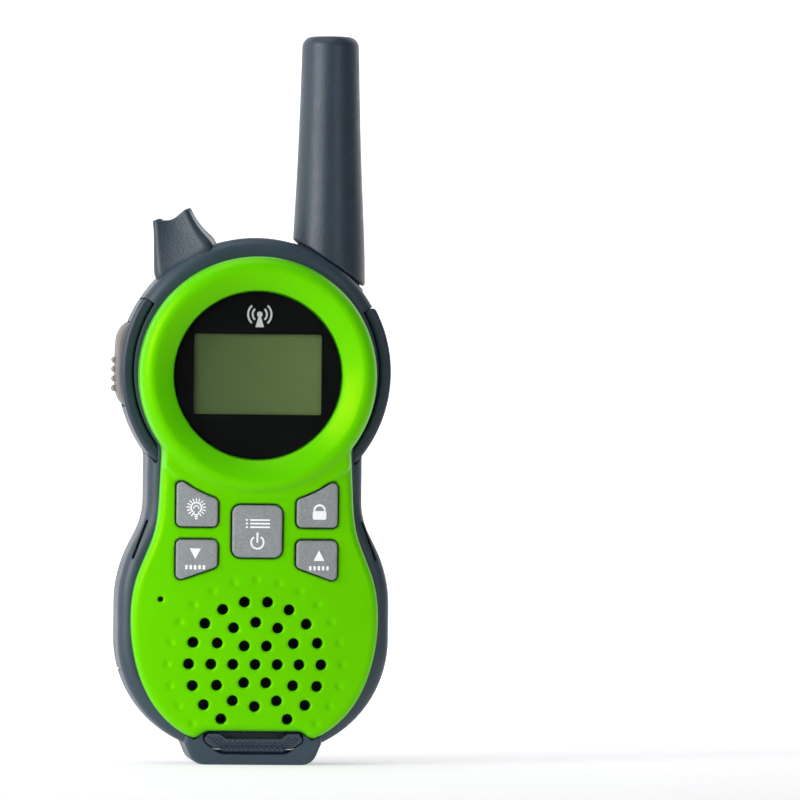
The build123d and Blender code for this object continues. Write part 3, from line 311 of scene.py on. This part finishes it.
def mesh_from(build, name, smooth_quads=False):
    """The mesh of a closed build, its faces turned outwards, and its four-sided ones smooth if asked."""
    bmesh.ops.recalc_face_normals(build, faces=build.faces)
    if smooth_quads:
        for face in build.faces:
            face.smooth = len(face.verts) == 4
    mesh = bpy.data.meshes.new(name)
    build.to_mesh(mesh)
    build.free()
    return mesh


def skin(build, rings):
    """Joins rings of points in metres with four-sided faces and closes both ends."""
    levels = [[build.verts.new(point) for point in points] for points in rings]
    count = len(levels[0])
    for low, high in zip(levels, levels[1:]):
        for i in range(count):
            j = (i + 1) % count
            build.faces.new((low[i], low[j], high[j], high[i]))
    build.faces.new(levels[0][::-1])
    build.faces.new(levels[-1])


def circle(radius, z, turns):
    """Points of a level circle round the origin."""
    angles = (2 * math.pi * i / turns for i in range(turns))
    return [Vector((radius * math.cos(a), radius * math.sin(a), z)) for a in angles]


def surface_of(*nodes):
    """A ray target made of CAD nodes, at rest."""
    points, faces = [], []
    for node in nodes:
        mesh = frame["nodes"][node].data
        start = len(points)
        points += [v.co.copy() for v in mesh.vertices]
        faces += [[start + i for i in p.vertices] for p in mesh.polygons]
    return BVHTree.FromPolygons(points, faces)


def front_y(target, x, z):
    """Y of the surface seen from the front at (x, z), in metres, or None."""
    hit = target.ray_cast(Vector((x, -0.1, z)), Vector((0, 1, 0)))[0]
    return hit.y if hit else None


def decal(name, shapes, target, material, body, slot, proud=0.03, sunk=0.04):
    """Thin raised print: closed flat shapes in (x, z) millimetres laid on the front of a surface."""
    build = bmesh.new()
    for shape in shapes:
        flat = [Vector((x, z, 0)) for x, z in shape]
        depth = [front_y(target, p.x * MM, p.y * MM) or 0.0 for p in flat]
        front = [build.verts.new((p.x * MM, y - proud * MM, p.y * MM)) for p, y in zip(flat, depth)]
        back = [build.verts.new((p.x * MM, y + sunk * MM, p.y * MM)) for p, y in zip(flat, depth)]
        for a, b, c in tessellate_polygon([flat]):
            build.faces.new((front[a], front[b], front[c]))
            build.faces.new((back[c], back[b], back[a]))
        for a in range(len(flat)):
            b = (a + 1) % len(flat)
            build.faces.new((front[a], front[b], back[b], back[a]))
    add_piece(name, mesh_from(build, name), material, body, slot)


def arc_points(x, z, radius, start, end, steps):
    """Points of an arc about (x, z), its angles in degrees."""
    return [
        (x + radius * math.cos(math.radians(a)), z + radius * math.sin(math.radians(a)))
        for a in (start + (end - start) * i / steps for i in range(steps + 1))
    ]


def arc_band(x, z, inner, outer, start, end, steps=24):
    """Part of a ring, as one closed outline."""
    return arc_points(x, z, outer, start, end, steps) + arc_points(x, z, inner, end, start, steps)


def bar(x, z, width, height, turn=0.0, corner=0.18):
    """Rectangle with cut corners about (x, z), turned in degrees."""
    w, h, c = width / 2, height / 2, min(corner, width / 3, height / 3)
    points = [(-w + c, -h), (w - c, -h), (w, -h + c), (w, h - c)]
    points += [(w - c, h), (-w + c, h), (-w, h - c), (-w, -h + c)]
    cos, sin = math.cos(math.radians(turn)), math.sin(math.radians(turn))
    return [(x + px * cos - pz * sin, z + px * sin + pz * cos) for px, pz in points]


# ---------------------------------------------------------------- printed marks
RAYS = 15
RAY_R = 1.75
BULB_UP = 0.35  # the bulb's middle above the middle of its mark


def light_mark():
    """A lamp with rays round it and three steps for its base."""
    x, z = LIGHT_MARK
    rays = []
    for step in range(RAYS):
        angle = -60 + 300 / (RAYS - 1) * step
        across, up = RAY_R * math.cos(math.radians(angle)), RAY_R * math.sin(math.radians(angle))
        rays.append(bar(x + across, z + BULB_UP + up, 0.75, 0.26, angle, 0.05))
    bulb = arc_band(x, z + BULB_UP, 0.95, 1.3, -50, 230)
    glow = arc_band(x, z + 0.25, 0.42, 0.66, -20, 200, 14)
    base = [bar(x, z - 1.2 - 0.42 * i, 0.95 - 0.2 * i, 0.3, 0, 0.08) for i in range(3)]
    neck = [bar(x + side * 0.5, z - 0.75, 0.26, 0.6) for side in (-1, 1)]
    return rays + [bulb, glow] + neck + base


def lock_mark():
    """A closed padlock."""
    x, z = LOCK_MARK
    legs = [bar(x + side * 1.17, z + 0.4, 0.45, 0.4) for side in (-1, 1)]
    return [bar(x, z - 0.6, 3.0, 1.9, 0, 0.25), arc_band(x, z + 0.45, 0.95, 1.4, 0, 180)] + legs


def power_mark():
    """An open ring with a bar in its gap."""
    x, z = POWER_MARK
    return [arc_band(x, z - 0.1, 1.18, 1.56, 122, 418, 32), bar(x, z + 0.95, 0.4, 2.3, 0, 0.12)]


def menu_mark():
    """Three plain lines of a list."""
    x, z = MENU_MARK
    rows = []
    for step in (-1, 0, 1):
        rows.append(bar(x + 0.55, z + 0.78 * step, 4.4, 0.36, 0, 0.1))
        rows.append(bar(x - 2.35, z + 0.78 * step, 0.5, 0.36, 0, 0.1))
    return rows


def triangle(x, z, width, height):
    """Arrowhead pointing up, or down where the height is negative."""
    return [(x - width / 2, z - height / 2), (x + width / 2, z - height / 2), (x, z + height / 2)]


def arrow_mark(place, direction):
    """An arrowhead over a row of plain level bars."""
    x, z = place
    steps = [bar(x + 0.95 * (i - 2), WORD_BARS_Z - 0.05, 0.55, 0.95, 0, 0.1) for i in range(5)]
    return [triangle(x, z, 2.4, 2.3 * direction)] + steps


def signal_mark():
    """A dot with radio waves on both sides, over a short mast."""
    x, z = SIGNAL_MARK
    waves = [arc_band(x, z + 1.9, r, r + 0.42, a - 48, a + 48, 16) for r in (1.35, 2.35) for a in (0, 180)]
    mast = [(x - 0.2, z + 1.6), (x + 0.2, z + 1.6), (x + 0.95, z - 0.9), (x - 0.95, z - 0.9)]
    return waves + [arc_points(x, z + 1.9, 0.62, 0, 345, 23), mast]


def print_marks(materials):
    """White marks on the keys and a grey one above the display, on the mask."""
    for key, shapes in (
        ("light", light_mark()),
        ("lock", lock_mark()),
        ("down", arrow_mark(DOWN_MARK, -1)),
        ("up", arrow_mark(UP_MARK, 1)),
        ("menu", power_mark() + menu_mark()),
    ):
        target = surface_of(f"key_{key}")
        decal(f"key_{key}_mark", shapes, target, materials["white_ink"], f"key_{key}", "white_plastic")
    mask = surface_of("window_mask")
    decal("signal_mark", signal_mark(), mask, materials["grey_ink"], "body", "white_plastic", 0.02, 0.02)


# ---------------------------------------------------------------- latch tread
TREAD_PITCH = (1.1, 0.86)
TREAD_BOTTOM_Z = 2.5
TREAD_HEIGHT = 5.0
TREAD_COLUMNS = 11  # to each side of the middle one
TREAD_MARGIN = 0.3  # how far a diamond has to lie within the pad, as a share of the pitch
TREAD_LAYERS = (  # half size as a share of the pitch, rise
    (0.46, -0.08),
    (0.46, 0.0),
    (0.24, 0.17),
    (0.08, 0.20),
)


def inside(x, z, outline):
    """Whether (x, z) lies in a closed outline."""
    hit = False
    for (x1, z1), (x2, z2) in zip(outline, outline[1:] + outline[:1]):
        if (z1 > z) != (z2 > z) and x < (x2 - x1) * (z - z1) / (z2 - z1) + x1:
            hit = not hit
    return hit


def latch_tread(materials):
    """Crosshatched face of the latch pad: rows of raised diamonds with grooves between them."""
    half = list(LATCH_OUTLINE)
    outline = half + [(-x, z) for x, z in reversed(half) if x]
    target = surface_of("door_latch")
    wide, high = TREAD_PITCH
    points = ((1, 0), (0, 1), (-1, 0), (0, -1))
    build = bmesh.new()
    for row in range(2 * int(TREAD_HEIGHT / high)):
        z = TREAD_BOTTOM_Z + row * high / 2
        shift = wide / 2 if row % 2 else 0.0
        for column in range(-TREAD_COLUMNS, TREAD_COLUMNS + 1):
            x = column * wide + shift
            room = ((x + dx * wide * TREAD_MARGIN, z + dz * high * TREAD_MARGIN) for dx, dz in points)
            y = front_y(target, x * MM, z * MM)
            if y is None or not all(inside(*place, outline) for place in room):
                continue
            layers = []
            for size, rise in TREAD_LAYERS:
                ends = ((x + dx * size * wide, z + dz * size * high) for dx, dz in points)
                layers.append([(px * MM, y - rise * MM, pz * MM) for px, pz in ends])
            skin(build, layers)
    mesh = mesh_from(build, "latch_tread")
    add_piece("latch_tread", mesh, materials["latch_plastic"], "door_latch", "latch_plastic")


# ---------------------------------------------------------------- front cover
COVER_VOXEL = 0.3
COVER_SMOOTHING = 8  # rounds of smoothing
CREASE_X = 14.0  # beyond this, where the ring runs into the sides of the keypad
CREASE_Z = (60.5, 70.0)
CREASE_SMOOTHING = 30
COVER_TRIANGLES = 190_000


def settle(piece):
    """Applies a piece's modifiers to its mesh."""
    bpy.context.view_layer.update()
    seen = piece.evaluated_get(bpy.context.evaluated_depsgraph_get())
    done = bpy.data.meshes.new_from_object(seen)
    piece.modifiers.clear()
    piece.data = done


def ease(piece, rounds, group=""):
    """Smooths a mesh, or only one of its vertex groups."""
    smooth = piece.modifiers.new("ease", "SMOOTH")
    smooth.factor = 0.5
    smooth.iterations = rounds
    smooth.vertex_group = group


def soft_cover(materials):
    """The front cover with the slightly rounded edges of a moulding, remeshed from its CAD solid."""
    source = frame["nodes"]["front_cover"]
    piece = bpy.data.objects.new("cover_shell", source.data.copy())
    bpy.context.scene.collection.objects.link(piece)
    remesh = piece.modifiers.new("remesh", "REMESH")
    remesh.mode = "VOXEL"
    remesh.voxel_size = COVER_VOXEL * MM
    remesh.use_smooth_shade = True
    ease(piece, COVER_SMOOTHING)
    settle(piece)
    low, high = CREASE_Z
    crease = piece.vertex_groups.new(name="crease")
    level = [v for v in piece.data.vertices if low * MM < v.co.z < high * MM]
    crease.add([v.index for v in level if abs(v.co.x) > CREASE_X * MM], 1.0, "REPLACE")
    ease(piece, CREASE_SMOOTHING, crease.name)
    settle(piece)
    triangles = sum(len(p.vertices) - 2 for p in piece.data.polygons)
    thin = piece.modifiers.new("thin", "DECIMATE")
    thin.ratio = min(1.0, COVER_TRIANGLES / triangles)
    settle(piece)
    mesh = piece.data
    bpy.data.objects.remove(piece)
    mesh.materials.clear()
    add_piece("cover_shell", mesh, materials["cover_plastic"], "body", "cover_plastic", "front_cover")


# ---------------------------------------------------------------- torch
TORCH_Y = -2.0
TORCH_RINGS = (  # middle (x, z), half width across, half depth, lean to the left in degrees, side hollow
    (-14.7, 109.7, 7.3, 7.2, 33.0, 0.35),
    (-15.1, 110.4, 7.55, 7.4, 32.5, 0.4),
    (-15.6, 111.4, 7.5, 7.2, 31.5, 0.45),
    (-16.15, 113.0, 6.75, 6.5, 29.0, 0.5),
    (-16.85, 115.0, 5.85, 5.7, 26.0, 0.5),
    (-17.55, 117.5, 5.0, 4.9, 22.5, 0.45),
    (-18.1, 119.6, 4.5, 4.45, 20.0, 0.4),
)
TORCH_SIDE_STEPS = 12
TORCH_CORNER = 0.16  # share of a side that its rounded corner takes
TORCH_TURN = -9.0  # about its own axis
TORCH_SUNK = 1.5  # how far the shell runs on into the casing
TORCH_DIP = 1.25  # of the rim between its corners
TORCH_RIM_RINGS = (  # inset from the top ring, share of its hollow, lift, dip
    (0.0, 1.0, 0.0, 0.55 * TORCH_DIP),
    (0.05, 1.0, 0.95, TORCH_DIP),
    (0.25, 1.0, 1.15, TORCH_DIP),
    (0.75, 1.0, 1.1, TORCH_DIP),
    (1.0, 1.0, 0.7, TORCH_DIP),
    (1.45, 0.6, -1.4, 0.0),
)
DOME_R = 3.05
DOME_BOTTOM = -1.3  # from the top ring, along the torch
DOME_EDGE = -0.35
DOME_RISE = 1.25
DOME_STEPS = 10
DOME_TURNS = 48


def torch_section(across, deep, hollow):
    """Outline of a four-sided section with hollow sides and rounded corners: x, y and share of the side."""
    corners = [(across, -deep), (across, deep), (-across, deep), (-across, -deep)]
    points = []
    for (x1, y1), (x2, y2) in zip(corners, corners[1:] + corners[:1]):
        length = math.hypot(x2 - x1, y2 - y1)
        inward = (-(y2 - y1) / length, (x2 - x1) / length)
        for step in range(TORCH_SIDE_STEPS):
            along = TORCH_CORNER / 2 + (1 - TORCH_CORNER) * step / (TORCH_SIDE_STEPS - 1)
            depth = hollow * 4 * along * (1 - along)
            x = x1 + (x2 - x1) * along + inward[0] * depth
            y = y1 + (y2 - y1) * along + inward[1] * depth
            points.append((x, y, along))
    return points


def torch_ring(x, z, across, deep, lean, hollow, lift=0.0, dip=0.0):
    """One ring of points in space; dip lowers the middle of each side."""
    turn = Matrix.Rotation(math.radians(-lean), 4, "Y")
    spin = Matrix.Rotation(math.radians(TORCH_TURN), 4, "Z")
    place = Matrix.Translation((x, TORCH_Y, z)) @ turn @ spin
    ring_points = []
    for px, py, along in torch_section(across, deep, hollow):
        fall = dip * math.sin(math.pi * along) ** 1.6
        ring_points.append(place @ Vector((px, py, lift - fall)) * MM)
    return ring_points


def torch_shell(materials):
    """Flared four-sided torch head with hollow flanks, raised rim corners and a well for its lens."""
    x, z, across, deep, lean, hollow = TORCH_RINGS[-1]
    rings = [torch_ring(*TORCH_RINGS[0], lift=-TORCH_SUNK)]
    rings += [torch_ring(*sizes) for sizes in TORCH_RINGS[:-1]]
    for inset, share, lift, dip in TORCH_RIM_RINGS:
        rings.append(torch_ring(x, z, across - inset, deep - inset, lean, hollow * share, lift, dip))
    build = bmesh.new()
    skin(build, rings)
    mesh = mesh_from(build, "torch_shell", smooth_quads=True)
    rubber = materials["antenna_rubber"]
    shell = add_piece("torch_shell", mesh, rubber, "body", "antenna_rubber", "torch_bezel")
    rounded = shell.modifiers.new("rounded", "SUBSURF")
    rounded.levels = rounded.render_levels = 1


def torch_dome(materials):
    """Domed lens that stands nearly as high as the rim's corners."""
    x, z, _, _, lean, _ = TORCH_RINGS[-1]
    place = Matrix.Translation((x, TORCH_Y, z)) @ Matrix.Rotation(math.radians(-lean), 4, "Y")
    angles = [math.pi / 2 * i / DOME_STEPS for i in range(1, DOME_STEPS)]
    profile = [(DOME_R, DOME_BOTTOM), (DOME_R, DOME_EDGE)]
    profile += [(DOME_R * math.cos(a), DOME_EDGE + DOME_RISE * math.sin(a)) for a in angles]
    build = bmesh.new()
    skin(build, [[place @ point * MM for point in circle(r, h, DOME_TURNS)] for r, h in profile])
    mesh = mesh_from(build, "torch_dome", smooth_quads=True)
    dome = add_piece("torch_dome", mesh, materials["lens_white"], "body", "torch_glass", "torch_lens")
    dome.visible_shadow = False


# ---------------------------------------------------------------- studio, in metres
CAMERA_AZIMUTH = -5.6
CAMERA_DISTANCE = 2.0
CAMERA_ROLL = 0.6
CAMERA_REACH = 20.0
SENSOR_WIDTH = 36.0  # millimetres
VIEW_WIDTH = 0.1761  # at the radio
AIM_RIGHT = 0.0325
AIM_Z = 0.0802
FLOOR_RADII = (0.6, 1.2, 2.2)
WALL_BEND = 1.0  # radius of the curve from floor to wall
WALL_BEND_STEPS = 12
WALL_LEVELS = (2.0, 3.6)
STUDIO_TURNS = 64
PAPER_GLOW = (0.06, 0.62)  # painted glow: emission of the wall behind the camera and of the wall behind the radio
PAPER_SHADE = (-1.4, 0.6)  # where the painted shade on the paper runs from dark to light, towards the back left
PAPER_SLANT = -0.5
LIGHTS = (  # name, place, size, power in watts
    ("key_light_left", (-1.15, -0.75, 0.55), (0.6, 1.0), 12.0),
    ("sheen_light_left", (-0.95, -1.35, 0.35), (0.4, 1.1), 6.0),
    ("top_light", (-0.2, -0.1, 1.4), (0.9, 0.9), 4.0),
    ("fill_light_right", (0.7, -1.5, 0.35), (0.5, 0.8), 2.2),
)
LIGHT_AIM = (0, 0, 0.08)
SKY_STRENGTH = 0.25


def cyclorama():
    """Plain round studio: a flat floor that curves up into a pale wall all round, with painted shade darkest
    towards the front right and a painted glow strongest towards the back left.
    """
    bends = [math.pi / 2 * i / WALL_BEND_STEPS for i in range(1, WALL_BEND_STEPS + 1)]
    edge = FLOOR_RADII[-1]
    profile = [(radius, 0.0) for radius in FLOOR_RADII]
    profile += [(edge + WALL_BEND * math.sin(a), WALL_BEND * (1 - math.cos(a))) for a in bends]
    profile += [(edge + WALL_BEND, z) for z in WALL_LEVELS]
    build = bmesh.new()
    rings = [[build.verts.new(point) for point in circle(radius, z, STUDIO_TURNS)] for radius, z in profile]
    middle = build.verts.new((0, 0, 0))
    for i in range(STUDIO_TURNS):
        j = (i + 1) % STUDIO_TURNS
        build.faces.new((middle, rings[0][i], rings[0][j]))
        for low, high in zip(rings, rings[1:]):
            build.faces.new((low[i], high[i], high[j], low[j]))
    for face in build.faces:
        face.smooth = True
    mesh = bpy.data.meshes.new("studio_floor")
    build.to_mesh(mesh)
    build.free()
    floor = bpy.data.objects.new("studio_floor", mesh)
    bpy.context.scene.collection.objects.link(floor)
    paper = Surface("studio_paper", 0.9, specular=0.1)
    axes = paper.node("ShaderNodeSeparateXYZ")
    paper.link(paper.where, axes.inputs["Vector"])
    across = paper.node("ShaderNodeMath", operation="MULTIPLY_ADD")
    paper.link(axes.outputs["X"], across.inputs[0])
    across.inputs[1].default_value = PAPER_SLANT
    paper.link(axes.outputs["Y"], across.inputs[2])
    # painted shade and glow: the paper darkens towards the front right and glows more towards the back left
    behind = paper.between(across.outputs[0], 0.0, 1.0, *PAPER_SHADE)
    paper.colour(paper.mix(behind, linear(120, 120, 122), linear(238, 238, 240)))
    paper.link(paper.between(behind, *PAPER_GLOW, 0.0, 1.0), paper.shader.inputs["Emission Strength"])
    paper.shader.inputs["Emission Color"].default_value = (1, 1, 1, 1)
    mesh.materials.append(paper.material)


def area_light(name, place, size, power):
    lamp = bpy.data.lights.new(name, "AREA")
    lamp.shape = "RECTANGLE"
    lamp.size, lamp.size_y = size
    lamp.energy = power
    holder = bpy.data.objects.new(name, lamp)
    bpy.context.scene.collection.objects.link(holder)
    holder.location = place
    holder.rotation_euler = (Vector(LIGHT_AIM) - Vector(place)).to_track_quat("-Z", "Y").to_euler()


def studio():
    """The paper, four lights and an even white sky."""
    cyclorama()
    for light in LIGHTS:
        area_light(*light)
    world = bpy.data.worlds.new("studio_world")
    bpy.context.scene.world = world
    world.use_nodes = True
    world.node_tree.nodes["Background"].inputs["Color"].default_value = (1, 1, 1, 1)
    world.node_tree.nodes["Background"].inputs["Strength"].default_value = SKY_STRENGTH
    bpy.context.scene.view_settings.view_transform = "Standard"


def camera():
    """A long lens at the photograph's angle, a little to the right of the radio."""
    azimuth = math.radians(CAMERA_AZIMUTH)
    right = Vector((math.cos(azimuth), math.sin(azimuth), 0))
    toward = Vector((-math.sin(azimuth), math.cos(azimuth), 0))
    aim = right * AIM_RIGHT + Vector((0, 0, AIM_Z))
    lens = bpy.data.cameras.new("camera")
    lens.sensor_width = SENSOR_WIDTH
    lens.lens = SENSOR_WIDTH * CAMERA_DISTANCE / VIEW_WIDTH
    lens.clip_end = CAMERA_REACH
    holder = bpy.data.objects.new("camera", lens)
    bpy.context.scene.collection.objects.link(holder)
    holder.location = aim - toward * CAMERA_DISTANCE
    turn = toward.to_track_quat("-Z", "Y").to_matrix()
    holder.rotation_euler = (turn @ Matrix.Rotation(math.radians(CAMERA_ROLL), 3, "Z")).to_euler()
    bpy.context.scene.camera = holder


# ---------------------------------------------------------------- the scene
def main():
    materials = make_materials()
    dress_frame(materials)
    soft_cover(materials)
    torch_shell(materials)
    torch_dome(materials)
    print_marks(materials)
    latch_tread(materials)
    studio()
    camera()


main()
